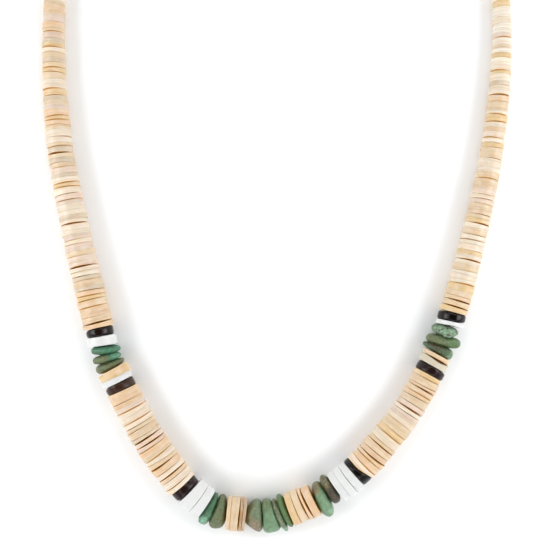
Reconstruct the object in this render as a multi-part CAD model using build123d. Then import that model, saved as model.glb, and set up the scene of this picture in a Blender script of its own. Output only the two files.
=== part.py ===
from build123d import *
from collections import namedtuple
import math
import os

# Graduated strand, in mm. It lies on a flat surface at z = 0, with the front of the loop towards -Y.
FRONT_DIAMETER = 9.1      # discs at the front of the loop
BACK_DIAMETER = 3.3       # discs beside the clasp
GRADUATION = 1.25         # 1 narrows the strand evenly to the back, more keeps it full for longer
SIDE_DIFFERENCE = 0.45    # the left side is this much fuller than the mean, and the right side slimmer

# Stringing
BORE_RADIUS = 0.6         # hole through every bead
THREAD_RADIUS = 0.35
BEAD_GAP = 0.12           # least clearance between neighbours on the strand
DRILL_LENGTH = 12.0       # longer than any turquoise piece

# Discs
TAN_THICKNESS = 1.25
WHITE_THICKNESS = 1.9
BLACK_THICKNESS = 2.2
RIM_BEVEL = 0.14          # ground edge round each disc
BEVEL_LIMIT = 0.3         # most that the ground edge takes of half a disc's thickness

# Lengths of the four runs of tan discs
LOWER_LEFT_RUN = 28.7
LOWER_RIGHT_RUN = 29.6
UPPER_LEFT_RUN = 95.0
UPPER_RIGHT_RUN = 91.0

# Discs of a run differ from one to the next, over and over: thickness as a share of TAN_THICKNESS,
# diameter as a share of the strand's own, and the gap after each as a share of BEAD_GAP.
THICKNESS_SHARES = (0.9, 1.25, 0.75, 1.1, 1.4, 0.85, 1.0, 0.7, 1.3, 0.8, 0.95)
DIAMETER_SHARES = (1.0, 0.985, 0.995, 0.975, 1.0, 0.99, 0.98)
GAP_SHARES = (1.0, 1.0, 2.2, 1.0, 1.0, 1.6, 1.0, 1.0)

# Distance along the thread from its left end to the front centre of the loop
FRONT_STATION = 254.65

# Turquoise
CHIP_THICKNESS = 3.0
CHIP_SIDES = 12
CHIP_LUMPS = 3            # round its outline
# Outlines across a turquoise piece, from face to face: place as a share of its thickness, and size
# as a share of its widest
CHIP_SECTIONS = ((-0.5, 0.72), (-0.24, 1.0), (0.24, 1.0), (0.5, 0.72))

# Outlines of the hidden back strings are no further apart than this along the strand.
BACK_STRING_STEP = 12.0

# Barrel clasp
CLASP_LENGTH = 11.0
CLASP_COLLAR_LENGTH = 1.3
CLASP_COLLAR_SHARE = 0.62     # of the barrel's radius
CLASP_BEVEL = 0.4
CLASP_BORE_RADIUS = 0.45
CLASP_BORE_DEPTH = 3.2
THREAD_END_GAP = 0.2          # between the thread's end and the bottom of the clasp's bore

# Route of the strand in plan: from the clasp down the left side, round the front and up the right
ROUTE = [
    (-14.0, 100.6), (-31.0, 96.4), (-47.0, 85.6), (-57.6, 68.0), (-61.0, 45.0),
    (-60.8, 22.0), (-58.8, 1.0), (-54.6, -19.0), (-50.2, -37.5), (-46.6, -51.5),
    (-40.7, -64.5), (-33.4, -77.2), (-24.5, -88.8), (-16.6, -94.2), (-3.4, -95.8),
    (12.0, -90.8), (22.2, -83.1), (34.6, -68.2), (41.7, -55.6), (47.6, -40.8),
    (52.6, -22.0), (57.4, -1.0), (60.4, 20.0), (61.2, 43.0), (57.8, 68.0),
    (47.0, 85.6), (31.0, 96.4), (14.0, 100.6),
]
ARC_SHARE = 0.45          # of the shorter run beside a corner, taken up by the arc that rounds it
FRONT_Y = min(y for x, y in ROUTE)
BACK_Y = max(y for x, y in ROUTE)
SIDE_X = max(x for x, y in ROUTE)

# One disc: its node, thickness in mm, diameter as a share of the strand's own, and lean, which turns
# its outer end forward along the strand, in degrees
Disc = namedtuple("Disc", "node thickness diameter lean")

# A run of tan discs: its node and length in mm
Run = namedtuple("Run", "node length")

# A turquoise piece: its node and thickness in mm. inner, outer and top are its reach towards the
# inside and outside of the loop and upwards, as shares of the strand's radius there. wedge opens its
# faces towards the outside of the loop, lean turns its outer end forward along the strand, and tip
# turns its top forward, all in degrees. lumps is how far its outline strays from an oval, as a share
# of its radius, and turn where, in degrees.
Chip = namedtuple("Chip", "node thickness inner outer top wedge lean tip lumps turn")


def tan(number, share, diameter=1.0, lean=0):
    """A single tan disc."""
    return Disc(f"tan_disc_{number}", TAN_THICKNESS * share, diameter, lean)


def white(number, share, diameter=1.0, lean=0):
    """A white disc."""
    return Disc(f"white_disc_{number}", WHITE_THICKNESS * share, diameter, lean)


def black(number, share, diameter=1.0, lean=0):
    """A dark polished disc."""
    return Disc(f"black_disc_{number}", BLACK_THICKNESS * share, diameter, lean)


def chip(number, share, *form):
    """A turquoise piece."""
    return Chip(f"turquoise_{number}", CHIP_THICKNESS * share, *form)


# The beads left of the front centre, outwards. A turquoise row reads: number, thickness as a share
# of CHIP_THICKNESS, then the columns of Chip from inner to turn.
LEFT_BEADS = [
    chip(1, 1.42, 0.97, 0.98, 0.86, 9, -3, 0, 0.05, 30),
    tan(1, 0.66, 0.98),
    tan(2, 0.6),
    tan(3, 1.66, 0.99, 1),
    tan(4, 0.72, 1.0, 5),
    chip(2, 1.06, 0.95, 1.0, 0.9, 16, 7, 0, 0.04, 100),
    chip(3, 0.72, 0.92, 1.08, 0.82, 13, 0, 2, 0.06, 200),
    white(1, 1.26, 0.97),
    white(2, 1.26, 0.98),
    black(1, 1.04, 0.87, -3),
    Run("lower_left_discs", LOWER_LEFT_RUN),
    black(2, 1.0, 0.95, 2),
    white(3, 0.75, 0.98, 4),
    tan(5, 1.7, 1.0, 5),
    chip(4, 0.68, 0.88, 1.06, 0.9, 12, 1, 2, 0.05, 60),
    chip(5, 0.62, 0.88, 0.96, 0.86, 8, -6, 2, 0.05, 250),
    chip(6, 0.7, 0.98, 0.88, 0.8, 5, -12, 2, 0.06, 150),
    white(4, 1.22, 0.95, -9),
    black(3, 0.92, 0.87, -5),
    Run("upper_left_discs", UPPER_LEFT_RUN),
]

# The beads right of the front centre, outwards, in the same columns.
RIGHT_BEADS = [
    chip(7, 1.13, 0.95, 1.04, 0.9, 20, 4, 0, 0.05, 320),
    chip(8, 0.46, 0.82, 1.28, 0.85, 0, 10, 0, 0.03, 80),
    chip(9, 0.6, 1.06, 1.05, 0.9, 0, 7, 0, 0.03, 10),
    tan(6, 1.42, 0.99, 4),
    tan(7, 1.42, 1.0, 7),
    tan(8, 0.7, 1.0, 8),
    tan(9, 1.68, 0.98, 5),
    chip(10, 1.12, 0.97, 1.32, 0.95, 4, -1, -3, 0.04, 120),
    chip(11, 0.82, 1.12, 0.74, 0.85, 8, -2, -3, 0.05, 300),
    white(5, 0.98, 0.98),
    white(6, 0.92),
    white(7, 0.95, 0.98),
    black(4, 0.97, 0.96),
    Run("lower_right_discs", LOWER_RIGHT_RUN),
    black(5, 1.04, 1.0, -4),
    white(8, 1.0, 1.0, -5),
    tan(10, 0.95, 1.0, -5),
    chip(12, 0.78, 1.22, 0.95, 0.9, 13, 0, -4, 0.05, 20),
    chip(13, 0.9, 1.2, 1.2, 0.8, 5, 9, -4, 0.05, 190),
    chip(14, 0.78, 1.08, 0.84, 0.9, -4, 7, -4, 0.04, 70),
    white(9, 0.58, 1.0, 6),
    black(6, 0.98, 0.99, 7),
    Run("upper_right_discs", UPPER_RIGHT_RUN),
]

# A bead in its place: its node, its distance along the thread, its outlines across the strand as
# lists of corners from its left face to its right one, and its solid's maker
Bead = namedtuple("Bead", "node station outlines make")

RIM_CORNERS = 16          # corners that stand for a disc's rim where clearances are worked out
SEAT_TOLERANCE = 0.002    # on a clearance
SEAT_STEPS = 12


def resting_height(x, y):
    """Height of the strand's centre above the table, which is the radius of a disc that lies there."""
    share = ((y - FRONT_Y) / (BACK_Y - FRONT_Y)) ** GRADUATION
    side = -SIDE_DIFFERENCE * x / SIDE_X
    return (FRONT_DIAMETER + (BACK_DIAMETER - FRONT_DIAMETER) * share + side) / 2


def strand_path():
    """Straight runs joined by tangent arcs, from one end of the thread to the other."""
    end_x = CLASP_LENGTH / 2 - CLASP_BORE_DEPTH + THREAD_END_GAP
    plan = [(-end_x, BACK_Y), *ROUTE, (end_x, BACK_Y)]
    points = [Vector(x, y, resting_height(x, y)) for x, y in plan]
    radii = []
    for before, corner, after in zip(points, points[1:], points[2:]):
        coming, going = corner - before, after - corner
        shorter = min(coming.length, going.length)
        radii.append(ARC_SHARE * shorter / math.tan(math.radians(coming.get_angle(going)) / 2))
    print("arc radii", [round(radius) for radius in radii])
    return FilletPolyline(points, radius=radii)


PATH = strand_path()
PATH_LENGTH = PATH.length


def frame_at(station):
    """Axes of the strand: x to the inside of the loop, y up, z along the strand to its right end."""
    point = PATH.position_at(station, position_mode=PositionMode.LENGTH)
    along = PATH.tangent_at(station, position_mode=PositionMode.LENGTH)
    return Plane(origin=point, x_dir=Vector(0, 0, 1).cross(along), z_dir=along)


def disc_solid(frame, radius, disc):
    """A drilled disc with a ground edge."""
    half = disc.thickness / 2
    bevel = min(RIM_BEVEL, BEVEL_LIMIT * half)
    profile = Polyline(
        (BORE_RADIUS, -half), (radius - bevel, -half), (radius, bevel - half),
        (radius, half - bevel), (radius - bevel, half), (BORE_RADIUS, half), close=True,
    )
    return frame.location * Rot(0, disc.lean, 0) * revolve(make_face(Plane.XZ * profile), Axis.Z)


def place_disc(disc, station):
    """A disc on the strand, its rim down on the table where it is as wide as the strand."""
    frame = frame_at(station)
    radius = frame.origin.Z * disc.diameter
    reach = radius / math.cos(math.pi / RIM_CORNERS)
    turns = [math.tau * corner / RIM_CORNERS for corner in range(RIM_CORNERS)]
    outlines = []
    for height in (-disc.thickness / 2, disc.thickness / 2):
        corners = [Vector(reach * math.cos(turn), reach * math.sin(turn), height) for turn in turns]
        outlines.append([frame.from_local_coords(c.rotate(Axis.Y, disc.lean)) for c in corners])
    return Bead(disc.node, station, outlines, lambda: disc_solid(frame, radius, disc))


def chip_corner(piece, radius, turn, place, size):
    """One corner of a turquoise piece's outline, in the strand's axes before it leans and tips."""
    reach = radius * size * (1 + piece.lumps * math.cos(CHIP_LUMPS * turn + math.radians(piece.turn)))
    across = reach * math.cos(turn) * (piece.inner if math.cos(turn) > 0 else piece.outer)
    up = reach * math.sin(turn) * (piece.top if math.sin(turn) > 0 else 1)
    along = place * (piece.thickness - across * math.tan(math.radians(piece.wedge)))
    return Vector(across, up, along)


def chip_solid(frame, outlines):
    """A drilled turquoise piece through its outlines."""
    body = Solid.make_loft([Wire.make_polygon(outline) for outline in outlines], ruled=True)
    return body - frame.location * Cylinder(BORE_RADIUS, DRILL_LENGTH)


def place_chip(piece, station):
    """A turquoise piece on the strand, let down until it rests on the table."""
    frame = frame_at(station)
    turns = [math.tau * side / CHIP_SIDES for side in range(CHIP_SIDES)]
    outlines = []
    for place, size in CHIP_SECTIONS:
        corners = [chip_corner(piece, frame.origin.Z, turn, place, size) for turn in turns]
        leaning = [c.rotate(Axis.Y, piece.lean).rotate(Axis.X, piece.tip) for c in corners]
        outlines.append([frame.from_local_coords(corner) for corner in leaning])
    drop = Vector(0, 0, min(corner.Z for outline in outlines for corner in outline))
    outlines = [[corner - drop for corner in outline] for outline in outlines]
    return Bead(piece.node, station, outlines, lambda: chip_solid(frame, outlines))


def face_plane(outline, other):
    """A point on a bead's end face, and the face's normal away from the bead's other outlines."""
    third = len(outline) // 3
    normal = (outline[third] - outline[0]).cross(outline[2 * third] - outline[0]).normalized()
    if (other[0] - outline[0]).dot(normal) > 0:
        normal = normal * -1
    return outline[0], normal


def clearance(left, right):
    """Least distance between two neighbours that a plane on an end face of one of them shows."""
    best = -math.inf
    for bead, end, inside, other in ((left, -1, -2, right), (right, 0, 1, left)):
        point, normal = face_plane(bead.outlines[end], bead.outlines[inside])
        corners = [corner for outline in other.outlines for corner in outline]
        best = max(best, min((corner - point).dot(normal) for corner in corners))
    return best


def seat(place, piece, neighbour, way, gap):
    """The piece slid along the strand until it clears its neighbour by the gap."""
    station = neighbour.station + way * piece.thickness
    for _ in range(SEAT_STEPS):
        bead = place(piece, station)
        found = clearance(neighbour, bead) if way > 0 else clearance(bead, neighbour)
        if abs(gap - found) < SEAT_TOLERANCE:
            break
        station += way * (gap - found)
    return bead


def mean(shares):
    """Mean of a list."""
    return sum(shares) / len(shares)


def disc_run(run, neighbour, way):
    """Tan discs side by side, as many as the run's length takes and as thick as fills it."""
    pitch = TAN_THICKNESS * mean(THICKNESS_SHARES) + BEAD_GAP * mean(GAP_SHARES)
    count = round(run.length / pitch)
    fit = run.length / (count * pitch)
    beads = []
    for index in range(count):
        thickness = TAN_THICKNESS * fit * THICKNESS_SHARES[index % len(THICKNESS_SHARES)]
        disc = Disc(run.node, thickness, DIAMETER_SHARES[index % len(DIAMETER_SHARES)], 0)
        gap = BEAD_GAP * GAP_SHARES[index % len(GAP_SHARES)]
        neighbour = seat(place_disc, disc, neighbour, way, gap)
        beads.append(neighbour)
    return beads


def thread_beads(pieces, neighbour, way):
    """The beads of one side, each seated against the one before it."""
    beads = []
    for piece in pieces:
        if isinstance(piece, Run):
            beads += disc_run(piece, neighbour, way)
        elif isinstance(piece, Chip):
            beads.append(seat(place_chip, piece, neighbour, way, BEAD_GAP))
        else:
            beads.append(seat(place_disc, piece, neighbour, way, BEAD_GAP))
        neighbour = beads[-1]
    return beads


def back_string(start, end):
    """The hidden stretch of fine discs as one bored tube that narrows along the strand."""
    route = PATH.trim(start / PATH_LENGTH, end / PATH_LENGTH)
    steps = math.ceil((end - start) / BACK_STRING_STEP)
    frames = [frame_at(start + (end - start) * step / steps) for step in range(steps + 1)]
    skin = sweep([frame * Circle(frame.origin.Z) for frame in frames], path=route, multisection=True)
    return skin - sweep(frames[0] * Circle(BORE_RADIUS), path=route)


def make_thread():
    """The stringing cord."""
    return sweep(frame_at(0) * Circle(THREAD_RADIUS), path=PATH)


def make_clasp():
    """Barrel clasp on its side at the back of the loop, bored at both ends for the thread."""
    radius = resting_height(0, BACK_Y)
    collar = CLASP_COLLAR_SHARE * radius
    end = CLASP_LENGTH / 2
    shoulder = end - CLASP_COLLAR_LENGTH
    right = [
        (end - CLASP_BORE_DEPTH, 0), (end - CLASP_BORE_DEPTH, CLASP_BORE_RADIUS),
        (end, CLASP_BORE_RADIUS), (end, collar), (shoulder, collar),
        (shoulder, radius - CLASP_BEVEL), (shoulder - CLASP_BEVEL, radius),
    ]
    left = [(-along, out) for along, out in reversed(right)]
    barrel = revolve(make_face(Polyline(*right, *left, close=True)), Axis.X)
    return Pos(0, BACK_Y, radius) * barrel


def make_beads():
    """Every bead on the strand, in its place, from the left end of the beads to the right end."""
    first = LEFT_BEADS[0]
    front = place_chip(first, FRONT_STATION - first.thickness / 2)
    left = thread_beads(LEFT_BEADS[1:], front, -1)
    right = thread_beads(RIGHT_BEADS, front, 1)
    return [*reversed(left), front, *right]


def make_nodes(beads):
    """The solids of every node."""
    nodes = {}
    for bead in beads:
        nodes.setdefault(bead.node, []).append(bead.make())
    mouth = CLASP_BORE_DEPTH - THREAD_END_GAP + BEAD_GAP
    clear = TAN_THICKNESS * max(THICKNESS_SHARES) / 2 + BEAD_GAP
    nodes["left_back_string"] = [back_string(mouth, beads[0].station - clear)]
    nodes["right_back_string"] = [back_string(beads[-1].station + clear, PATH_LENGTH - mouth)]
    nodes["thread"] = [make_thread()]
    nodes["barrel_clasp"] = [make_clasp()]
    return nodes


def export_nodes(nodes):
    """One file for each node, with the middle of the loop at x = y = 0."""
    everything = Compound([solid for solids in nodes.values() for solid in solids])
    middle = everything.bounding_box().center()
    os.makedirs("parts", exist_ok=True)
    for node, solids in nodes.items():
        moved = [Pos(-middle.X, -middle.Y, 0) * solid for solid in solids]
        export_step(moved[0] if len(moved) == 1 else Compound(moved), f"parts/{node}.step")
    print("middle of the loop", middle)


beads = make_beads()
nodes = make_nodes(beads)
export_nodes(nodes)
print("thread", PATH_LENGTH, "solids", sum(len(solids) for solids in nodes.values()))
print("thread volume", nodes["thread"][0].volume, math.pi * THREAD_RADIUS**2 * PATH_LENGTH)
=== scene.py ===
"""Looks of a graduated necklace of shell discs and turquoise, laid on a pale table."""

import math
import random
from collections import namedtuple

import bpy
import numpy as np
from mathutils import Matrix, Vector, noise
from mathutils.bvhtree import BVHTree


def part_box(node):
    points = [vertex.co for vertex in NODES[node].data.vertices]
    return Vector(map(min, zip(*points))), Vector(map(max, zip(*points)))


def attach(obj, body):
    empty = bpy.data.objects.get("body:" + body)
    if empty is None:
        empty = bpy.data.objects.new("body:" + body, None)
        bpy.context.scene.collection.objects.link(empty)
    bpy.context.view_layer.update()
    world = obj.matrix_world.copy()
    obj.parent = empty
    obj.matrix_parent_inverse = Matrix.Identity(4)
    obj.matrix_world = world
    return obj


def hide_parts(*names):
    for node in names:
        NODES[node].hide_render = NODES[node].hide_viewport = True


bl_info = {
    "name": "Graduated Disc Necklace",
    "version": (1, 0, 0),
    "blender": (4, 5, 0),
    "location": "View3D > Sidebar > Necklace",
    "description": "Dresses a graduated shell and turquoise necklace and lays it on a lit table",
    "category": "Object",
}

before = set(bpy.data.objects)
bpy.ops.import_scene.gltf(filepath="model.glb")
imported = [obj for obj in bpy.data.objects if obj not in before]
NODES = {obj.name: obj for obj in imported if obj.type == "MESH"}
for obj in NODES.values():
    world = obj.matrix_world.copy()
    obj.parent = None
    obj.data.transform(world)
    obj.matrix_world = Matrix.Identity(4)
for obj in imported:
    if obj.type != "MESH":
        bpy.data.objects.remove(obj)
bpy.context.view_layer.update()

MM = 0.001
UP = np.array([0.0, 0.0, 1.0])
BORE = 0.6 * MM                                 # radius of a drilled hole
THREAD = 0.35 * MM                              # radius of the thread
LOOP_MIDDLE = np.array([0.0, 20 * MM, 0.0])     # every bead of the loop can be seen from here
THREAD_TURNS = np.arange(92.5, 447.75, 0.5)     # degrees round the loop where the thread is felt for
LINE_STEP = 1.5 * MM                            # to either side, for the strand's direction

# How far off a ray starts, so that it meets its target from outside
OUTSIDE_LOOP = 0.3
ABOVE_STRAND = 0.03
OUTSIDE_STONE = 0.02


def linear(hex_colour):
    """Linear red, green and blue of an sRGB hex colour."""
    parts = [int(hex_colour[place:place + 2], 16) / 255 for place in (1, 3, 5)]
    return [p / 12.92 if p <= 0.04045 else ((p + 0.055) / 1.055) ** 2.4 for p in parts]


# The beads as the CAD places them

# One bead: its node, its middle, its axes along the strand, to the inside of the loop and upwards,
# its radius, and its thickness
Bead = namedtuple("Bead", "node centre along inward up radius thickness")

# The joint between two neighbours: a point and the normal of its middle plane, the least gap, how much
# wider the gap opens in the direction of turn, round the strand from the inside of the loop, the width
# of the worn edges beside it, and how strongly painted shade darkens them
Seam = namedtuple("Seam", "point normal least opening turn edge stain")


def unit(vector):
    """The vector at length 1."""
    return vector / np.linalg.norm(vector)


def polar(point):
    """Angle of a point round the loop, in degrees, from 90 at the clasp down the left side and up the
    right to 450."""
    turn = math.degrees(math.atan2(point[1] - LOOP_MIDDLE[1], point[0] - LOOP_MIDDLE[0]))
    return turn if turn >= 90 else turn + 360


def solids_of(node):
    """Corners and triangles of each solid of a CAD node."""
    mesh = NODES[node].data
    mesh.calc_loop_triangles()
    corners = np.empty(len(mesh.vertices) * 3)
    mesh.vertices.foreach_get("co", corners)
    corners = corners.reshape(-1, 3)
    triangles = np.empty(len(mesh.loop_triangles) * 3, int)
    mesh.loop_triangles.foreach_get("vertices", triangles)
    same = np.unique(np.round(corners / MM, 3), axis=0, return_inverse=True)[1].ravel()
    triangles = triangles.reshape(-1, 3)
    joined = same[triangles]
    label = np.arange(same.max() + 1)
    while True:
        lowest = label.copy()
        for column in range(3):
            np.minimum.at(lowest, joined[:, column], label[joined].min(1))
        lowest = lowest[lowest]
        if (lowest == label).all():
            break
        label = lowest
    owner = label[joined[:, 0]]
    return [(corners, triangles[owner == solid]) for solid in np.unique(owner)]


def disc_bead(node, corners, triangles):
    """A disc's place and size, read from its CAD solid: its flat faces give its axis."""
    a, b, c = (corners[triangles[:, column]] for column in range(3))
    normals = np.cross(b - a, c - a)
    areas = np.linalg.norm(normals, axis=1)
    facing = normals / np.maximum(areas, 1e-20)[:, None]
    along = np.linalg.eigh((facing * areas[:, None]).T @ facing)[1][:, -1]
    points = corners[np.unique(triangles)]
    inward = unit(np.cross(UP, along))
    if inward @ (LOOP_MIDDLE - points.mean(0)) < 0:
        inward, along = -inward, -along
    up = np.cross(along, inward)
    axes = np.array([inward, up, along])
    local = points @ axes.T
    middle = (local.min(0) + local.max(0)) / 2
    half = (local.max(0) - local.min(0)) / 2
    return Bead(node, middle @ axes, along, inward, up, (half[0] + half[1]) / 2, half[2] * 2)


def tree_of(node):
    """A CAD node's mesh, ready to be hit by rays."""
    mesh = NODES[node].data
    return BVHTree.FromPolygons([v.co for v in mesh.vertices], [p.vertices for p in mesh.polygons])


def is_disc(node):
    """Whether a node holds discs."""
    return "disc" in node


DISCS = sorted((disc_bead(node, *solid) for node in NODES if is_disc(node) for solid in solids_of(node)),
               key=lambda bead: polar(bead.centre))


def strand_line():
    """Points on the middle of the thread round the whole loop, and their distances along it."""
    thread = tree_of("thread")
    low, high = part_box("barrel_clasp")
    clasp_height = (low.z + high.z) / 2
    turns = [90.0, *(polar(bead.centre) for bead in DISCS), 450.0]
    heights = [clasp_height, *(bead.centre[2] for bead in DISCS), clasp_height]
    points = []
    for turn in THREAD_TURNS:
        way = Vector((math.cos(math.radians(turn)), math.sin(math.radians(turn)), 0))
        level = Vector(LOOP_MIDDLE) + Vector((0, 0, np.interp(turn, turns, heights)))
        inner = thread.ray_cast(level, way)[0]
        outer = thread.ray_cast(level + way * OUTSIDE_LOOP, -way)[0]
        if inner is None or outer is None:
            continue
        middle = (inner + outer) / 2
        top = thread.ray_cast(middle + Vector((0, 0, ABOVE_STRAND)), Vector((0, 0, -1)))[0]
        points.append([middle.x, middle.y, top.z - THREAD])
    points = np.array(points)
    steps = np.linalg.norm(np.diff(points, axis=0), axis=1)
    return points, np.concatenate([[0], np.cumsum(steps)])


LINE, STATIONS = strand_line()


def on_line(station):
    """Point and direction of the strand at a distance along it."""
    before, at, after = (
        np.array([np.interp(station + step, STATIONS, LINE[:, axis]) for axis in range(3)])
        for step in (-LINE_STEP, 0, LINE_STEP)
    )
    return at, unit(after - before)


def station_of(point):
    """Distance along the strand of the place nearest to a point."""
    return STATIONS[np.argmin(np.linalg.norm(LINE - point, axis=1))]


def stone_bead(node):
    """A turquoise piece's place and rough size: its middle is where the thread passes its own middle."""
    low, high = (np.array(corner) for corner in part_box(node))
    centre, along = on_line(station_of((low + high) / 2))
    inward = unit(np.cross(UP, along))
    corners = np.array([v.co for v in NODES[node].data.vertices])
    reach = (corners - centre) @ along
    centre = centre + along * (reach.min() + reach.max()) / 2
    across = np.linalg.norm(corners - centre - np.outer((corners - centre) @ along, along), axis=1)
    thickness = reach.max() - reach.min()
    return Bead(node, centre, along, inward, np.cross(along, inward), across.max(), thickness)


BEADS = sorted([*DISCS, *(stone_bead(node) for node in NODES if node.startswith("turquoise"))],
               key=lambda bead: polar(bead.centre))

# How a seam looks: how wide it opens and how wide its worn edges are, in mm, and how strongly painted
# shade darkens them. Most seams are tight, and only a change of tone shows them.
Look = namedtuple("Look", "opening edge stain")
SEAM_LOOKS = {
    "dark": Look(0.40, 0.14, 1.0),
    "orange": Look(0.07, 0.30, 1.0),
    "fine": Look(0.15, 0.07, 0.8),
    "soft": Look(0.0, 0.20, 0.5),
    "tight": Look(0.0, 0.02, 0.2),
}

# The seams that show. Number n is the seam behind the nth disc of a node, counted from the front of the
# loop, and 0 is the seam before its first disc.
SEAMS_SEEN = {
    "tan_disc_2": {"fine": (0,), "dark": (1,)},
    "tan_disc_4": {"soft": (0,)},
    "tan_disc_7": {"fine": (0,)},
    "tan_disc_8": {"dark": (0,)},
    "tan_disc_9": {"dark": (0,)},
    "tan_disc_10": {"dark": (0,)},
    "white_disc_2": {"fine": (0,)},
    "white_disc_7": {"fine": (0,)},
    "lower_left_discs": {
        "dark": (3, 5, 10, 11), "orange": (7, 9, 15, 17), "fine": (1, 2, 4, 13, 14, 19), "soft": (6, 12)},
    "lower_right_discs": {
        "dark": (3, 5, 14, 18), "orange": (0, 1, 2, 8, 17), "fine": (4, 9, 13, 15, 16, 19, 20),
        "soft": (6, 11)},
    "upper_left_discs": {
        "dark": (1, 12, 20, 34), "orange": (4, 5, 6, 27, 28, 40, 41, 46, 50, 54, 57),
        "fine": (7, 10, 25, 26, 35, 37, 45, 49), "soft": (2, 9, 11, 14, 16, 17, 31, 32, 39, 51, 56, 59)},
    "upper_right_discs": {
        "dark": (1, 2, 10, 17, 42), "orange": (5, 26, 34, 37, 38, 47, 53),
        "fine": (14, 15, 19, 22, 30), "soft": (3, 8, 12, 21, 23, 32, 33, 41, 44, 49, 51, 57)},
}
SEAM_LEAN = 0.018               # how far a seam leans at random, as a slope
SEAM_TURN = (90, 16)            # where a seam opens widest, 90 being on top, and its spread, in degrees
OPENING_RANGE = (0.8, 1.2)      # share of a look's opening

# Seams that lean more: their slopes along the strand to the inside of the loop and upwards
SEAMS_LEANING = {("black_disc_4", 1): (-0.13, 0), ("white_disc_3", 0): (0.03, 0),
                 ("tan_disc_5", 0): (0.03, 0)}


def seam_index(name, count):
    """Place in BEADS of the bead before a node's seam, by the seam's number from the front."""
    places = [index for index, bead in enumerate(BEADS) if bead.node == name]
    return places[0] - 1 + count if BEADS[places[0]].centre[0] > 0 else places[-1] - count


def plan_seams(least, seed=5):
    """The seam after each bead of BEADS, or None where a turquoise piece is its neighbour."""
    draw = random.Random(seed)
    looks = {seam_index(name, count): SEAM_LOOKS[kind] for name, kinds in SEAMS_SEEN.items()
             for kind, counts in kinds.items() for count in counts}
    leans = {seam_index(name, count): slopes for (name, count), slopes in SEAMS_LEANING.items()}
    seams = []
    for index, (bead, other) in enumerate(zip(BEADS, BEADS[1:])):
        if not (is_disc(bead.node) and is_disc(other.node)):
            seams.append(None)
            continue
        right = bead.centre + bead.along * bead.thickness / 2
        left = other.centre - other.along * other.thickness / 2
        look = looks.get(index, SEAM_LOOKS["tight"])
        slopes = leans.get(index, (draw.gauss(0, SEAM_LEAN), draw.gauss(0, SEAM_LEAN)))
        lean = -slopes[0] * bead.inward - slopes[1] * bead.up
        seams.append(Seam((right + left) / 2, unit(unit(bead.along + other.along) + lean), least,
                          look.opening * MM * draw.uniform(*OPENING_RANGE),
                          math.radians(draw.gauss(*SEAM_TURN)), look.edge * MM, look.stain))
    return seams


# Meshes

def ring_piece(name, parts, material, node):
    """One object made of bead skins, which are grids of points that close both ways round."""
    points, faces, tones, places, seam_shades = [], [], [], [], []
    start = 0
    for skin, tone, place, inside in parts:
        rows, sides = skin.shape[:2]
        grid = start + np.arange(rows * sides).reshape(rows, sides)
        beside, after = np.roll(grid, -1, axis=1), np.roll(grid, -1, axis=0)
        corner = np.roll(beside, -1, axis=0)
        faces.append(np.stack([grid, beside, corner, after], axis=-1).reshape(-1, 4))
        points.append(skin.reshape(-1, 3))
        tones.append(np.broadcast_to(tone, (*skin.shape[:2], 3)).reshape(-1, 3))
        places.append(place.reshape(-1, 3))
        seam_shades.append(np.broadcast_to(inside, skin.shape[:2]).reshape(-1))
        start += rows * sides
    mesh = bpy.data.meshes.new(name)
    mesh.from_pydata(np.concatenate(points).tolist(), [], np.concatenate(faces).tolist())
    mesh.polygons.foreach_set("use_smooth", [True] * len(mesh.polygons))
    colour = mesh.attributes.new("tone", "FLOAT_COLOR", "POINT")
    colour.data.foreach_set("color", np.pad(np.concatenate(tones), ((0, 0), (0, 1)),
                                            constant_values=1).ravel())
    mesh.attributes.new("bead_mm", "FLOAT_VECTOR", "POINT").data.foreach_set(
        "vector", np.concatenate(places).ravel())
    # how strongly painted shade darkens each point; only the tan shell reads it
    mesh.attributes.new("inside", "FLOAT", "POINT").data.foreach_set("value", np.concatenate(seam_shades))
    mesh.materials.append(material)
    piece = bpy.data.objects.new(name, mesh)
    bpy.context.scene.collection.objects.link(piece)
    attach(piece, "root")
    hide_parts(node)
    return piece


def face_height(bead, seam, side, across, up):
    """Height of a disc's face above its middle, at places across it, where it meets a seam."""
    if seam is None:
        return np.full_like(across, side * bead.thickness / 2)
    spread = (across * math.cos(seam.turn) + up * math.sin(seam.turn)) / bead.radius
    gap = seam.least + seam.opening * np.clip(0.5 + 0.5 * spread, 0, 1) ** 3
    flat = bead.centre + across[:, None] * bead.inward + up[:, None] * bead.up - seam.point
    return (-side * gap / 2 - flat @ seam.normal) / (bead.along @ seam.normal)


# How a disc is finished: corners round its rim, the width of its worn edges, or 0 where its seams say
# it, how far it is out of round and out of line, as shares of its radius, the depth of the nicks in its
# edges, and how many it may have
Finish = namedtuple("Finish", "sides edge out_of_round out_of_line nick nicks")

# A disc's worn edge beside a turquoise piece, where there is no seam, and the painted shade on it
STONE_SIDE_WEAR = 0.6
STONE_SIDE_EDGE = 0.2 * MM
STONE_SIDE_PAINTED_SHADE = 0.8

LEAST_WIDTH = 0.15                # of a worn edge, as a share of its width where it is widest
EDGE_STEPS = (0, 30, 60, 90)      # degrees round a worn edge
EDGE_LIMIT = 0.33                 # most that a worn edge takes of a disc's thickness
FACE_RING = 0.55                  # of the radius
NICK_WIDTHS = (0.06, 0.2)         # radians round the rim
NICK_DEPTHS = (0.3, 1)            # share of a finish's nick
RIM_WAVES = (2, 3, 5, 8)          # waves round a rim that make it out of round


def pattern_shift(draw):
    """A random place in a pattern, in mm, for a bead to start from."""
    return np.array([draw.uniform(0, 50) for _ in range(3)])


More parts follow.
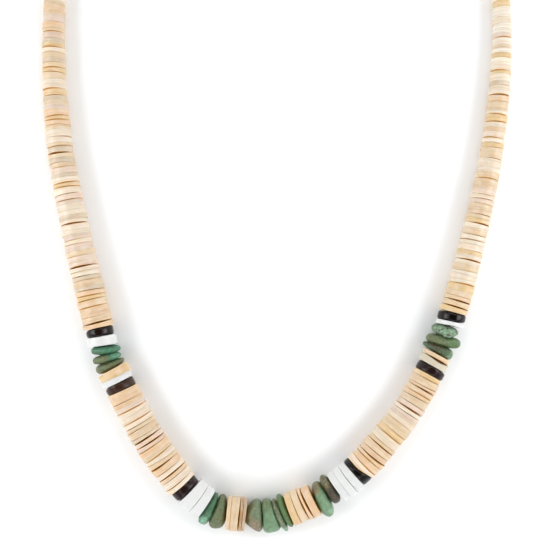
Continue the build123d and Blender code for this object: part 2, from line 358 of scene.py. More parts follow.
def disc_skin(bead, left, right, finish, draw, dents=()):
    """Skin of a drilled disc between two seams, each point's place on the bead in mm, and how strongly
    painted shade darkens it."""
    turns = np.linspace(-math.pi / 2, 1.5 * math.pi, finish.sides, endpoint=False)
    cos, sin = np.cos(turns), np.sin(turns)
    wave = sum(
        draw.uniform(-1, 1) / order * np.cos(order * turns + draw.uniform(0, math.tau))
        for order in RIM_WAVES
    )
    rim = bead.radius * (1 - finish.out_of_round * (1 + wave / 2))
    slip = draw.uniform(-1, 1) * finish.out_of_line * bead.radius
    rim = rim - draw.random() * finish.out_of_line * bead.radius

    def face(seam, side, reach):
        height = face_height(bead, seam, side, slip + reach * cos, reach * sin)
        for turn, width, depth, dented in dents:
            if dented == side:
                away = np.angle(np.exp(1j * (turns - math.radians(turn)))) / math.radians(width)
                height = height - side * depth * MM * np.exp(-away ** 2) * (reach / bead.radius) ** 2
        return height

    bore = np.full_like(turns, BORE)
    thick = face(right, 1, rim) - face(left, -1, rim)
    halves = []
    for seam, side in ((left, -1), (right, 1)):
        if seam:
            worn = np.clip(0.5 + 0.5 * np.cos(turns - seam.turn), 0, 1) ** 2
            widest, strongest = seam.edge, seam.stain
        else:
            worn = np.full_like(turns, STONE_SIDE_WEAR)
            widest, strongest = STONE_SIDE_EDGE, STONE_SIDE_PAINTED_SHADE
        width = widest * (LEAST_WIDTH + (1 - LEAST_WIDTH) * worn)
        if finish.edge:
            width = np.full_like(turns, finish.edge)
        # painted shade: darkest where the seam opens widest, where the gap's shade is deepest
        stain = strongest * worn
        nicked = np.zeros_like(turns)
        for _ in range(draw.randint(0, finish.nicks)):
            away = np.angle(np.exp(1j * (turns - draw.uniform(0, math.tau)))) / draw.uniform(*NICK_WIDTHS)
            nicked = np.maximum(nicked, finish.nick * draw.uniform(*NICK_DEPTHS) * np.exp(-away ** 2))
        edge = face(seam, side, rim)
        depth = np.minimum(width, EDGE_LIMIT * thick)
        # painted shade covers the face in the seam, fades over the worn edge and is gone at the rim
        rows = [(bore, face(seam, side, bore), np.ones_like(turns)),
                (rim * FACE_RING, face(seam, side, rim * FACE_RING), np.ones_like(turns))]
        for step in EDGE_STEPS:
            swing = math.radians(step)
            rows.append((rim - width * (1 - math.sin(swing)) - nicked * math.cos(swing / 2),
                         edge - side * depth * (1 - math.cos(swing)), (1 - step / 90) * stain))
        rows.append((rim, edge - side * (depth + (thick - 2 * depth) / 3), np.zeros_like(turns)))
        halves.append(rows)
    rows = halves[0] + halves[1][::-1]
    reach = np.array([row[0] for row in rows])
    height = np.array([row[1] for row in rows])
    inside = np.array([row[2] for row in rows])
    across, up = slip + reach * cos, reach * sin
    skin = (bead.centre + across[..., None] * bead.inward + up[..., None] * bead.up
            + height[..., None] * bead.along)
    return skin, np.stack([across, up, height], axis=-1) / MM + pattern_shift(draw), inside


# Materials

def node(tree, kind, settings=None, inputs=None, stops=()):
    """A shader node with its settings, each input linked to a socket or set to a value, and, if it is
    a ramp, its stops of place and grey or colour."""
    made = tree.nodes.new(kind)
    for name, value in (settings or {}).items():
        setattr(made, name, value)
    for name, value in (inputs or {}).items():
        if isinstance(value, bpy.types.NodeSocket):
            tree.links.new(value, made.inputs[name])
        else:
            made.inputs[name].default_value = value
    if stops:
        elements = made.color_ramp.elements
        while len(elements) < len(stops):
            elements.new(0.5)
        for element, (place, value) in zip(elements, stops):
            element.position = place
            element.color = (*np.broadcast_to(value, 3), 1)
    return made


def new_material(name):
    """An empty material and its node tree."""
    material = bpy.data.materials.new(name)
    material.use_nodes = True
    material.node_tree.nodes.clear()
    return material, material.node_tree


def bead_material(name):
    """An empty material for beads, its node tree, and what the mesh keeps: place in mm, and tone."""
    material, tree = new_material(name)
    place = node(tree, "ShaderNodeAttribute", {"attribute_name": "bead_mm"}).outputs["Vector"]
    tone = node(tree, "ShaderNodeAttribute", {"attribute_name": "tone"}).outputs["Color"]
    return material, tree, place, tone


def rgb(colour):
    """A colour property as a colour input takes it."""
    return (*colour, 1.0)


def grain(tree, place, stretch, detail=4.0, rough=0.55, distortion=0.0):
    """Noise whose cells measure 1 / stretch along each axis, in the place's own unit."""
    mapped = node(tree, "ShaderNodeMapping", inputs={"Vector": place, "Scale": stretch}).outputs[0]
    settings = {"Scale": 1.0, "Detail": detail, "Roughness": rough, "Distortion": distortion}
    return node(tree, "ShaderNodeTexNoise", inputs={"Vector": mapped, **settings}).outputs[0]


def layer(tree, pattern, stops, base, colour):
    """A colour laid over a base by a pattern, which stops turn into the colour's share."""
    share = node(tree, "ShaderNodeValToRGB", inputs={"Fac": pattern}, stops=stops).outputs[0]
    return node(tree, "ShaderNodeMix", {"data_type": "RGBA"}, {0: share, 6: base, 7: rgb(colour)}).outputs[2]


def finish_material(tree, base, roughness, bump=None, more=None):
    """Join a material's surface to its output. Its roughness is a number, or a pattern and how rough its
    low and high places are. Its bump is a pattern, a strength and a depth in mm."""
    inputs = {"Base Color": base, "Roughness": roughness, **(more or {})}
    if isinstance(roughness, tuple):
        pattern, low, high = roughness
        inputs["Roughness"] = node(tree, "ShaderNodeValToRGB", inputs={"Fac": pattern},
                                   stops=((0.3, low), (0.8, high))).outputs[0]
    if bump:
        pattern, strength, depth = bump
        inputs["Normal"] = node(tree, "ShaderNodeBump", inputs={
            "Strength": strength, "Distance": depth * MM, "Height": pattern}).outputs[0]
    surface = node(tree, "ShaderNodeBsdfPrincipled", inputs=inputs)
    node(tree, "ShaderNodeOutputMaterial", inputs={"Surface": surface.outputs[0]})


def tumbled_shell(colours):
    """Melon shell, sawn across its layers and tumbled: fine warm layers run round each rim, and an
    orange-brown painted shade darkens the faces and worn edges down in each seam."""
    material, tree, place, tone = bead_material("tumbled_melon_shell")
    inside = node(tree, "ShaderNodeAttribute", {"attribute_name": "inside"}).outputs["Fac"]
    layers = grain(tree, place, (0.10, 0.10, 2.6))           # layers 0.4 mm apart
    fine = grain(tree, place, (0.25, 0.25, 9.0))             # growth lines 0.1 mm apart
    clouds = grain(tree, place, (0.35, 0.35, 0.5), 2.0)      # clouds 2 to 3 mm wide
    base = layer(tree, layers, ((0.42, 0.0), (0.72, 0.55)), tone, colours.layer)
    base = layer(tree, clouds, ((0.45, 0.0), (0.75, 0.5)), base, colours.cream)
    base = layer(tree, fine, ((0.50, 0.0), (0.80, 0.28)), base, colours.tan)
    # painted shade in the seams: orange-brown over the faces and worn edges that go into each gap
    base = layer(tree, inside, ((0.0, 0.0), (0.7, 0.95)), base, colours.painted_seam_shade)
    finish_material(tree, base, (layers, 0.34, 0.5), (fine, 0.5, 0.03), {
        "IOR": 1.53, "Subsurface Weight": 0.45, "Subsurface Radius": (1.0, 0.62, 0.32),
        "Subsurface Scale": 1.1 * MM})
    return material


def white_shell(colours):
    """White clam shell, tumbled smooth: even and bright, with a few faint grey lines."""
    material, tree, place, tone = bead_material("tumbled_white_shell")
    lines = grain(tree, place, (0.08, 0.08, 1.6), 3.0)       # lines 0.6 mm apart
    pits = grain(tree, place, (1.6, 1.6, 2.4), 2.0)          # pits about 0.5 mm wide
    base = layer(tree, lines, ((0.60, 0.0), (0.72, 0.35)), tone, colours.white_line)
    base = layer(tree, pits, ((0.70, 0.0), (0.78, 0.5)), base, colours.white_line)
    finish_material(tree, base, (pits, 0.3, 0.45), (lines, 0.4, 0.03), {
        "IOR": 1.53, "Subsurface Weight": 0.5, "Subsurface Radius": (1.0, 0.95, 0.9),
        "Subsurface Scale": 0.7 * MM})
    return material


def pen_shell(colours):
    """Black pen shell, ground and polished: near black and glossy, with brown layers in its depth."""
    material, tree, place, tone = bead_material("polished_pen_shell")
    layers = grain(tree, place, (0.12, 0.12, 3.2))           # layers 0.3 mm apart
    scratches = grain(tree, place, (1.2, 1.2, 14.0), 3.0)    # scratches 0.07 mm wide
    base = layer(tree, layers, ((0.40, 0.0), (0.75, 1.0)), tone, colours.black_layer)
    finish_material(tree, base, (scratches, 0.12, 0.26), (scratches, 0.5, 0.02),
                    {"IOR": 1.53, "Specular IOR Level": 0.24})
    return material


def tumbled_turquoise(name, colours, vein_share, speck_share):
    """Green turquoise in its brown host rock, tumbled: cloudy colour, dark veins and small pits."""
    material, tree, place, tone = bead_material(name)
    clouds = grain(tree, place, (0.55, 0.55, 0.55), 4.0, 0.6, 0.6)      # clouds 1.8 mm wide
    mottle = grain(tree, place, (2.2, 2.2, 2.2), 3.0, 0.6)              # flecks 0.45 mm wide
    # specks 0.6 mm wide, three times their real size, so that they show
    specks = grain(tree, place, (1.6, 1.6, 1.6), 2.0, 0.6)
    # a net of veins, 1.3 mm from one to the next
    wobble = node(tree, "ShaderNodeTexNoise", inputs={"Vector": place, "Scale": 0.9}).outputs[1]
    bent = node(tree, "ShaderNodeMix", {"data_type": "RGBA", "blend_type": "ADD"},
                {0: 0.12, 6: place, 7: wobble}).outputs[2]
    veins = node(tree, "ShaderNodeTexVoronoi", {"feature": "DISTANCE_TO_EDGE"},
                 {"Vector": bent, "Scale": 0.8}).outputs[0]
    base = layer(tree, clouds, ((0.35, 0.5), (0.6, 0.0)), tone, colours.deep_green)
    base = layer(tree, mottle, ((0.52, 0.0), (0.75, 0.35)), base, colours.pale_green)
    base = layer(tree, specks, ((0.53, 0.0), (0.60, speck_share)), base, colours.matrix)
    base = layer(tree, veins, ((0.0, vein_share), (0.09, 0.0)), base, colours.matrix)
    finish_material(tree, base, (mottle, 0.36, 0.6), (mottle, 0.8, 0.09),
                    {"IOR": 1.61, "Specular IOR Level": 0.36})
    return material


# Settings in the sidebar

def colour_property(name, hex_colour, description):
    """A colour that a user may change."""
    return bpy.props.FloatVectorProperty(
        name=name, description=description, subtype="COLOR", size=3, min=0, max=1,
        default=linear(hex_colour))


def length_property(name, millimetres, description, least=0.0):
    """A length that a user may change."""
    return bpy.props.FloatProperty(
        name=name, description=description, subtype="DISTANCE", unit="LENGTH", min=least,
        default=millimetres * MM, precision=5)


def light_property(name, default, description, **more):
    """A brightness or a power that a user may change."""
    return bpy.props.FloatProperty(name=name, description=description, default=default, min=0, **more)


class DiscSettings(bpy.types.PropertyGroup):
    """Sizes of the discs' finish"""

    sides: bpy.props.IntProperty(
        name="Rim corners", description="Corners round a disc's rim", default=48, min=12, max=96)
    back_sides: bpy.props.IntProperty(
        name="Back rim corners", description="Corners round a small disc's rim at the back", default=32,
        min=12, max=96)
    seam: length_property("Tight seam", 0.008, "Gap between discs that are pressed together")
    white_edge: length_property("White edge", 0.12, "Worn edge of a white disc")
    black_edge: length_property("Black edge", 0.55, "Worn edge of a black disc")
    nick: length_property("Nick", 0.09, "Deepest nick in a disc's edge")
    out_of_round: bpy.props.FloatProperty(
        name="Out of round", description="Share of its radius that a disc's rim strays", default=0.006,
        min=0, max=0.05, subtype="FACTOR")
    out_of_line: bpy.props.FloatProperty(
        name="Out of line", description="Share of its radius that a disc sits off the strand's middle",
        default=0.032, min=0, max=0.05, subtype="FACTOR")


class ShellColours(bpy.types.PropertyGroup):
    """Colours of the shell discs"""

    ivory: colour_property("Ivory", "#EDE2D2", "Palest tan disc")
    cream: colour_property("Cream", "#E5D5C1", "Pale tan disc")
    tan: colour_property("Tan", "#D8C0A0", "Plain tan disc")
    gold: colour_property("Gold", "#D8BA8A", "Yellow-brown disc")
    peach: colour_property("Peach", "#DCBC99", "Orange-tinted disc")
    pink: colour_property("Pink", "#DBC6B5", "Pink-tinted disc")
    grey: colour_property("Grey", "#CBBBA4", "Grey-brown disc")
    brown: colour_property("Brown", "#A98663", "Brown disc")
    # painted shade: the darker tone of tan_disc_1, standing in for the shade its neighbours cast
    painted_shade_tan: colour_property("Drab", "#AE9C82", "Weathered grey-brown disc")
    layer: colour_property("Layer", "#BB9569", "Darker growth layers in a tan disc")
    # painted shade: the orange-brown laid over the faces and worn edges in each seam between tan discs
    painted_seam_shade: colour_property("Sawn face", "#C98F2B", "Stained face between two tan discs")
    white: colour_property("White", "#D9D9D7", "White disc")
    # painted shade: a darker, yellower white for white_disc_8, standing in for the shade of the tan disc
    # beside it
    bone: colour_property("Bone", "#C9C0AB", "Yellowed white disc")
    white_line: colour_property("White line", "#B4B3B1", "Grey lines in a white disc")
    black: colour_property("Black", "#070606", "Black disc")
    black_brown: colour_property("Black brown", "#241613", "Brown-black disc")
    umber: colour_property("Umber", "#3E281E", "Brown disc of pen shell")
    black_layer: colour_property("Black layer", "#24140F", "Brown layers in a black disc")


class StoneColours(bpy.types.PropertyGroup):
    """Colours of the turquoise pieces"""

    sea_green: colour_property("Sea green", "#38704F", "Blue-green turquoise")
    emerald: colour_property("Emerald", "#397F5F", "Bright green turquoise")
    pale_green: colour_property("Pale green", "#8FBE97", "Palest flecks in the green")
    # also laid on the outer ends of turquoise_3 and turquoise_8 as painted light
    sea_pale_and_painted_light: colour_property("Pale sea green", "#8CC3A2", "Weathered blue-green turquoise")
    # also laid on the outer ends of turquoise_7 and turquoise_10 as painted light
    frosted_green: colour_property("Frosted green", "#84A587", "Pale weathered turquoise")
    # also laid on the outer side of turquoise_12 as painted light
    leaf_pale: colour_property("Pale leaf green", "#74926F", "Light green turquoise")
    leaf_green: colour_property("Leaf green", "#567642", "Yellow-green turquoise")
    deep_green: colour_property("Deep green", "#3E5E3C", "Dark clouds in the green")
    olive: colour_property("Olive", "#687049", "Olive turquoise")
    grey_green: colour_property("Grey green", "#7C8868", "Grey-green turquoise")
    taupe: colour_property("Taupe", "#8C7A62", "Weathered host rock")
    bronze: colour_property("Bronze", "#7D6539", "Yellow-brown host rock")
    dusk: colour_property("Dusk", "#422E27", "Purple-brown host rock")
    red_brown: colour_property("Red brown", "#84543F", "Iron-stained host rock")
    matrix: colour_property("Matrix", "#4A3526", "Veins and specks of host rock")


class FittingColours(bpy.types.PropertyGroup):
    """Colours of the thread and the clasp"""

    # painted shade: the darker colour of the thread, laid in the hollows between its twisted strands
    thread: colour_property("Thread", "#4A3B2C", "Waxed thread in its hollows")
    thread_strand: colour_property("Thread strand", "#95846E", "Waxed thread on its strands")
    silver: colour_property("Silver", "#EBE9E4", "Bright silver")
    dull_silver: colour_property("Dull silver", "#BCB7AE", "Silver dulled by handling")


class StageSettings(bpy.types.PropertyGroup):
    """Camera, table and lights"""

    camera_height: length_property("Camera height", 207.9, "Height of the camera above the table")
    camera_x: length_property("Camera across", -0.562, "Camera's place across the loop", -1.0)
    camera_y: length_property("Camera along", -31.797, "Camera's place along the loop", -1.0)
    view_angle: bpy.props.FloatProperty(
        name="View angle", description="Angle that the picture's width takes in", subtype="ANGLE",
        default=math.radians(40.03), min=0.1, max=2)
    table: colour_property("Table", "#F7F7F7", "White table board")
    table_shade: colour_property("Table shade", "#F4F4F4", "Faint mottle in the table board")
    tent_light: light_property("Tent light", 0.45, "Brightness of the light tent's walls")
    wall_light: light_property("Wall light", 1.3, "Brightness of the tent's walls near the table")
    ring_light: light_property("Ring light", 1.9, "Brightness of the ring of lamps round the camera")
    front_light: light_property("Front light", 0.36, "Power of the soft light in front of the loop",
                                unit="POWER")
    back_light: light_property("Back light", 0.14, "Power of the soft light over the back of the loop",
                               unit="POWER")
    side_light: light_property("Side light", 0.6, "Power of the soft light at each side", unit="POWER")


# Pieces

# Tones of the tan discs of a run, from the front of the loop, and over again from the start where the
# run has more discs. A back string draws each disc's tone from its list.
RUN_TONES = {
    "lower_left_discs": "cream cream tan cream peach tan cream tan peach pink pink grey tan tan cream "
                        "cream cream pink peach peach peach",
    "lower_right_discs": "cream peach tan peach tan tan cream cream gold tan tan cream pink cream pink "
                         "tan peach tan peach tan gold",
    "upper_left_discs": "peach tan peach peach tan gold peach grey tan grey cream cream pink pink tan "
                        "pink cream pink cream cream cream grey cream cream pink pink cream gold cream "
                        "grey pink tan grey tan grey tan cream cream tan peach gold peach pink tan grey "
                        "gold cream cream tan gold tan grey tan cream gold grey pink tan peach pink "
                        "peach peach tan cream cream",
    "upper_right_discs": "gold tan tan tan gold cream cream cream tan cream cream gold cream cream "
                         "cream tan cream gold tan tan tan pink cream pink tan tan tan cream cream "
                         "cream tan tan gold cream cream peach cream gold cream tan tan peach cream "
                         "cream grey cream gold cream ivory gold ivory cream ivory pink ivory ivory "
                         "cream ivory ivory gold ivory cream ivory ivory ivory",
    "left_back_string": "cream tan cream gold grey cream pink cream peach",
    "right_back_string": "cream cream tan peach cream gold pink",
}

# Tones of the single discs that are not plain white
SINGLE_TONES = {
    # the darker tone of tan_disc_1 is painted shade
    "tan_disc_1": "painted_shade_tan", "tan_disc_2": "brown", "tan_disc_3": "tan", "tan_disc_4": "tan",
    "tan_disc_5": "gold", "tan_disc_6": "gold", "tan_disc_7": "tan", "tan_disc_8": "peach",
    "tan_disc_9": "peach", "tan_disc_10": "tan", "black_disc_1": "black_brown", "black_disc_2": "umber",
    "black_disc_3": "black", "black_disc_4": "black", "black_disc_5": "black_brown",
    # the darker, yellower tone of white_disc_8 is painted shade
    "black_disc_6": "black", "white_disc_8": "bone",
}

# Hollows in the faces of discs, by node and number from the front: where round the strand and how wide,
# in degrees, how deep in mm, or how high if it is less than 0, and on the left face, -1, or the right
# one, 1
DENTS = {
    ("black_disc_1", 0): [(60, 40, 0.3, 1), (170, 50, 0.3, 1), (100, 16, 0.15, -1)],
    ("black_disc_2", 0): [(150, 40, 0.4, -1), (60, 30, 0.25, -1), (100, 14, -0.2, -1)],
    ("black_disc_3", 0): [(30, 30, 0.3, 1), (130, 25, 0.2, 1), (160, 30, 0.3, -1)],
    ("black_disc_4", 0): [(75, 30, 0.35, 1), (150, 14, -0.2, 1)],
    ("lower_right_discs", 0): [(75, 30, -0.3, -1)],
    ("black_disc_5", 0): [(120, 14, 0.35, 1), (85, 10, -0.2, 1), (50, 20, 0.3, 1), (160, 30, 0.2, 1)],
    ("black_disc_6", 0): [(0, 50, 0.4, 1), (170, 40, 0.3, -1), (90, 20, 0.15, 1)],
    ("white_disc_8", 0): [(100, 40, 0.5, 1)],
    ("white_disc_9", 0): [(90, 30, 0.3, -1)],
}


TAN_SPREAD = 0.05         # how much lighter or darker one disc is than its tone
WHITE_SPREAD = 0.02


def neighbours(index, seams):
    """The seams before and after a bead."""
    return (seams[index - 1] if index else None), (seams[index] if index < len(seams) else None)


def grind_discs(context, names, edge, material, tone_of, seed):
    """Ground discs in the place of CAD discs, one piece for each of the named nodes."""
    settings = context.scene.necklace_discs
    seams = plan_seams(settings.seam)
    draw = random.Random(seed)
    nick = settings.nick if edge else settings.nick / 2
    finish = Finish(settings.sides, edge, settings.out_of_round, settings.out_of_line, nick, 3)
    for name in names:
        places = [index for index, bead in enumerate(BEADS) if bead.node == name]
        if "left" in name:
            places.reverse()
        parts = []
        for count, index in enumerate(places):
            skin, place, inside = disc_skin(BEADS[index], *neighbours(index, seams), finish, draw,
                                            DENTS.get((name, count), ()))
            parts.append((skin, tone_of(name, count, draw), place, inside))
        ring_piece(f"{name}_ground", parts, material, name)


def shaded(colour, draw, spread):
    """A colour made a little lighter or darker."""
    return np.clip(np.array(colour) * (1 + draw.uniform(-spread, spread)), 0, 1)


class NECKLACE_OT_tan_discs(bpy.types.Operator):
    """Grind the tan shell discs, the single ones and the four runs"""

    bl_idname = "necklace.tan_discs"
    bl_label = "Tan shell discs"

    def execute(self, context):
        colours = context.scene.necklace_shell

        def tone(name, count, draw):
            tones = RUN_TONES.get(name, SINGLE_TONES.get(name)).split()
            return shaded(getattr(colours, tones[count % len(tones)]), draw, TAN_SPREAD)

        names = sorted(name for name in NODES
                       if name.startswith("tan_disc") or is_disc(name) and name in RUN_TONES)
        grind_discs(context, names, 0, tumbled_shell(colours), tone, seed=3)
        return {"FINISHED"}


class NECKLACE_OT_white_discs(bpy.types.Operator):
    """Tumble the white shell discs"""

    bl_idname = "necklace.white_discs"
    bl_label = "White shell discs"

    def execute(self, context):
        colours = context.scene.necklace_shell
        names = sorted(name for name in NODES if name.startswith("white_disc"))
        grind_discs(context, names, context.scene.necklace_discs.white_edge, white_shell(colours),
                    lambda name, count, draw: shaded(getattr(colours, SINGLE_TONES.get(name, "white")),
                                                     draw, WHITE_SPREAD), seed=4)
        return {"FINISHED"}


class NECKLACE_OT_black_discs(bpy.types.Operator):
    """Polish the black pen shell discs"""

    bl_idname = "necklace.black_discs"
    bl_label = "Black shell discs"

    def execute(self, context):
        colours = context.scene.necklace_shell
        names = sorted(name for name in NODES if name.startswith("black_disc"))
        grind_discs(context, names, context.scene.necklace_discs.black_edge, pen_shell(colours),
                    lambda name, count, draw: np.array(getattr(colours, SINGLE_TONES[name])), seed=6)
        return {"FINISHED"}


# A turquoise piece: its main colour; patches of other colours, each with the direction that it lies in
# and how far it spreads, as the cosine of its half angle; how often its edges are smoothed; how strongly
# its veins and its specks show; its flats, each with how far out it lies as a share of the piece's reach
# there; its swells, each with its height in mm and how narrow it is; and its folds, ridges that stand up
# across a face, or hollows if their height is less than 0. A direction is to the inside of the loop, up
# and along the strand. A fold has its place towards the inside of the loop, its width, its height, all in
# mm, and its face, -1 for the left and 1 for the right.
# a pale patch on the outer side of a piece is painted light
Stone = namedtuple("Stone", "colour patches smoothing veins specks flats swells folds", defaults=[()])
STONES = {
    "turquoise_1": Stone("grey_green", [("taupe", (-0.8, 0.1, -0.6), 0.0)], 3, 0.2, 0.35,
                         [((-0.78, 0.1, -0.62), 0.70), ((0.72, 0.1, -0.69), 0.68), ((0, 0, 1), 0.85)],
                         [((-0.7, 0, 0.7), 0.6, 4)], [(-0.6, 2.0, 0.6, -1)]),
    "turquoise_2": Stone("olive", [("matrix", (0.2, 0.5, 1), 0.9)], 4, 0.4, 0.4,
                         [], [((-0.8, 0, -0.6), 0.9, 2)]),
    # its pale outer end is a painted highlight
    "turquoise_3": Stone("sea_green", [("sea_pale_and_painted_light", (-1, 0.5, 0), 0.92)], 2, 0.3, 0.4,
                         [], [((-0.8, 0.3, -0.5), 0.4, 5)]),
    "turquoise_4": Stone("olive", [("red_brown", (-0.3, 0.4, -1), 0.93)], 3, 0.5, 0.6,
                         [], [((0, 0, 1), 0.2, 1)]),
    "turquoise_5": Stone("emerald", [("olive", (-1, 0.3, 0), 0.1), ("sea_pale_and_painted_light", (1, 0.5, 0), 0.9)],
                         3, 0.3, 0.4, [], [((0, 0, 1), 0.2, 1)]),
    "turquoise_6": Stone("emerald", [("matrix", (-0.7, 0.4, 0.9), 0.93)], 2, 0.6, 0.4,
                         [], [((0.3, 0, 1), 0.25, 1), ((-0.7, 0, -0.7), 0.3, 5)], [(-2.4, 0.8, -0.3, 1)]),
    # its pale outer end is painted light
    "turquoise_7": Stone("leaf_pale", [("olive", (0.9, 0.3, -0.4), 0.8),
                                       ("frosted_green", (-1, 0.2, 0), 0.9)], 1, 0.05, 0.15,
                         [((-1, 0, 0), 0.93), ((0, 0, -1), 0.88), ((0, 1, 0), 0.85), ((1, 0, 0.1), 0.93)],
                         [((-0.75, 0, -0.66), 0.6, 4), ((-0.75, 0, 0.66), 0.6, 4),
                          ((0.75, 0, -0.66), 0.35, 4), ((0.75, 0, 0.66), 0.3, 4)]),
    # its pale outer end is painted light
    "turquoise_8": Stone("grey_green", [("taupe", (1, 0.5, 0.5), 0.8), ("sea_pale_and_painted_light", (-1, 0, 0), 0.86)],
                         1, 0.3, 0.85, [], [((0, 0, -1), 0.35, 0.3), ((0, 0, 1), 0.3, 0.3)]),
    "turquoise_9": Stone("leaf_green", [], 2, 0.2, 0.3,
                         [], [((-0.5, 0, 0.8), 0.2, 2), ((0, 0, -1), 0.15, 1)]),
    # its pale outer end is painted light
    "turquoise_10": Stone("leaf_pale", [("bronze", (1, 0.2, -0.1), 0.86), ("red_brown", (1, 0.2, -0.5), 0.9),
                                        ("frosted_green", (-1, 0.2, 0), 0.85)],
                          4, 0.0, 0.0, [], [((-0.6, 0, -0.8), 0.2, 2)]),
    "turquoise_11": Stone("dusk", [("bronze", (1, 0.1, -0.1), 0.55), ("grey_green", (1, 0.1, 0), 0.93)],
                          3, 1.0, 0.9, [], [((0, 0, 1), 0.15, 1), ((0.8, 0, -0.6), 0.9, 4)]),
    # its paler outer, lower side is painted light
    "turquoise_12": Stone("deep_green", [("matrix", (0.4, 0.9, 0.3), 0.85),
                                         ("leaf_pale", (-1, 0, -0.6), 0.5)],
                          2, 0.5, 0.7, [((-0.5, 0, -0.85), 0.9)],
                          [((-0.65, 0, -0.75), 0.75, 2), ((0.6, 0, 0.8), 0.4, 3)]),
    "turquoise_13": Stone("leaf_green", [("olive", (1, 0.3, 0), 0.1)],
                          2, 0.4, 0.5, [], [((0.6, 0, -0.4), 0.3, 3)], [(0.0, 1.5, -0.9, 1)]),
    "turquoise_14": Stone("frosted_green", [], 2, 0.5, 1.0,
                          [((-0.7, 0, -0.72), 0.85)], [((0, 0, 1), 0.2, 1)], [(0.0, 1.6, 0.9, -1)]),
}
STONE_SIDES = 64
STONE_ROWS = 30
STONE_MOUTH = 0.95 * MM   # radius of the last row of points, beside the bore
STONE_LUMP = 0.1 * MM
LUMP_MEAN = 0.6           # share of a lump that is worn off everywhere
LUMP_WAVES = ((0.55, 1.0), (1.7, 0.4))      # waves per mm, and their shares
SMOOTHING_PASSES = 5      # for each step of a stone's smoothing
LAST_PASSES = 3           # over the flats and folds
PATCH_GRAIN = 0.7         # waves per mm in the ragged edge of a patch
PATCH_RAGGED = 0.3
PATCH_SLOPE = 3           # how sharply a patch ends


def smoothed(grid):
    """A grid of points that closes sideways, with each point drawn towards its neighbours."""
    grid = grid * 0.6 + (np.roll(grid, 1, axis=1) + np.roll(grid, -1, axis=1)) * 0.2
    grid[1:-1] = grid[1:-1] * 0.6 + (grid[:-2] + grid[2:]) * 0.2
    return grid


def stone_skin(bead, stone, shift):
    """Skin of a drilled stone over its CAD solid, with its edges worn round and its face uneven."""
    solid = tree_of(bead.node)
    turns = np.linspace(-math.pi / 2, 1.5 * math.pi, STONE_SIDES, endpoint=False)
    heights = []
    for side in (-1, 1):
        for turn in turns[::4]:
            beside = bead.centre + STONE_MOUTH * (math.cos(turn) * bead.inward + math.sin(turn) * bead.up)
            start = beside + side * bead.along * OUTSIDE_STONE
            hit = solid.ray_cast(Vector(start), Vector(-side * bead.along))[0]
            heights.append(abs((np.array(hit) - bead.centre) @ bead.along))
    steepest = math.atan2(min(heights) * bead.radius, STONE_MOUTH * bead.thickness / 2)
    tilts = np.linspace(-steepest, steepest, STONE_ROWS)
    skin = np.empty((STONE_ROWS, STONE_SIDES, 3))
    for row, tilt in enumerate(tilts):
        for side, turn in enumerate(turns):
            way = (math.cos(tilt) * (math.cos(turn) * bead.inward + math.sin(turn) * bead.up) * bead.radius
                   + math.sin(tilt) * bead.along * bead.thickness / 2)
            way = unit(way)
            hit = solid.ray_cast(Vector(bead.centre + way * OUTSIDE_STONE), Vector(-way))[0]
            if hit is None:
                raise RuntimeError(f"{bead.node}: a ray missed the stone")
            skin[row, side] = hit
    axes = np.array([bead.inward, bead.up, bead.along])
    local = (skin - bead.centre) @ axes.T
    size = np.ptp(local, axis=(0, 1))
    for _ in range(stone.smoothing * SMOOTHING_PASSES):
        local = smoothed(local)
    local = local * size / np.ptp(local, axis=(0, 1))
    for way, height, narrow in stone.swells:
        way = unit(np.array(way, float))
        facing = local @ way / np.linalg.norm(local, axis=-1)
        local = local + way * height * MM * np.clip(facing, 0, 1)[..., None] ** narrow
    half = np.abs(local[..., 2]).max()
    for place, width, height, side in stone.folds:
        ridge = np.exp(-((local[..., 0] / MM - place) / width) ** 2)
        local[..., 2] += side * height * MM * ridge * np.clip(side * local[..., 2] / half, 0, 1)
    for way, share in stone.flats:
        way = unit(np.array(way, float))
        reach = local @ way
        limit = share * reach.max()
        local *= np.where(reach > limit, limit / np.maximum(reach, 1e-9), 1)[..., None]
    for _ in range(LAST_PASSES):
        local = smoothed(local)
    for row in local:
        for point in row:
            where = Vector(point / MM + shift)
            lump = sum(share * noise.noise(where * waves) for waves, share in LUMP_WAVES)
            point *= 1 - STONE_LUMP * (LUMP_MEAN + lump) / max(np.linalg.norm(point), MM)
    mouths = []
    for end in (0, -1):
        mouth = local[end] * [1, 1, 0]
        mouth *= (BORE / np.linalg.norm(mouth, axis=1))[:, None]
        mouth[:, 2] = local[end][:, 2]
        mouths.append(mouth)
    local = np.concatenate([mouths[0][None], local, mouths[1][None]])
    return bead.centre + local @ axes, local


class NECKLACE_OT_turquoise(bpy.types.Operator):
    """Tumble the turquoise pieces"""

    bl_idname = "necklace.turquoise"
    bl_label = "Turquoise pieces"

    def execute(self, context):
        colours = context.scene.necklace_stones
        beads = {bead.node: bead for bead in BEADS}
        draw = random.Random(9)
        for name, stone in STONES.items():
            bead = beads[name]
            shift = pattern_shift(draw)
            skin, local = stone_skin(bead, stone, shift)
            ragged = np.array([[noise.noise(Vector(point / MM * PATCH_GRAIN + shift)) for point in row]
                               for row in local])
            tone = np.broadcast_to(getattr(colours, stone.colour), local.shape)
            for colour, way, spread in stone.patches:
                facing = local @ unit(np.array(way, float)) / np.linalg.norm(local, axis=-1)
                edge = facing - spread + PATCH_RAGGED * ragged
                mix = np.clip(edge * PATCH_SLOPE + 0.5, 0, 1)[..., None]
                tone = tone * (1 - mix) + np.array(getattr(colours, colour)) * mix
            ring_piece(f"{name}_tumbled", [(skin, tone, local / MM + shift, 0.0)],
                       tumbled_turquoise(f"tumbled_{name}", colours, stone.veins, stone.specks), name)
        return {"FINISHED"}


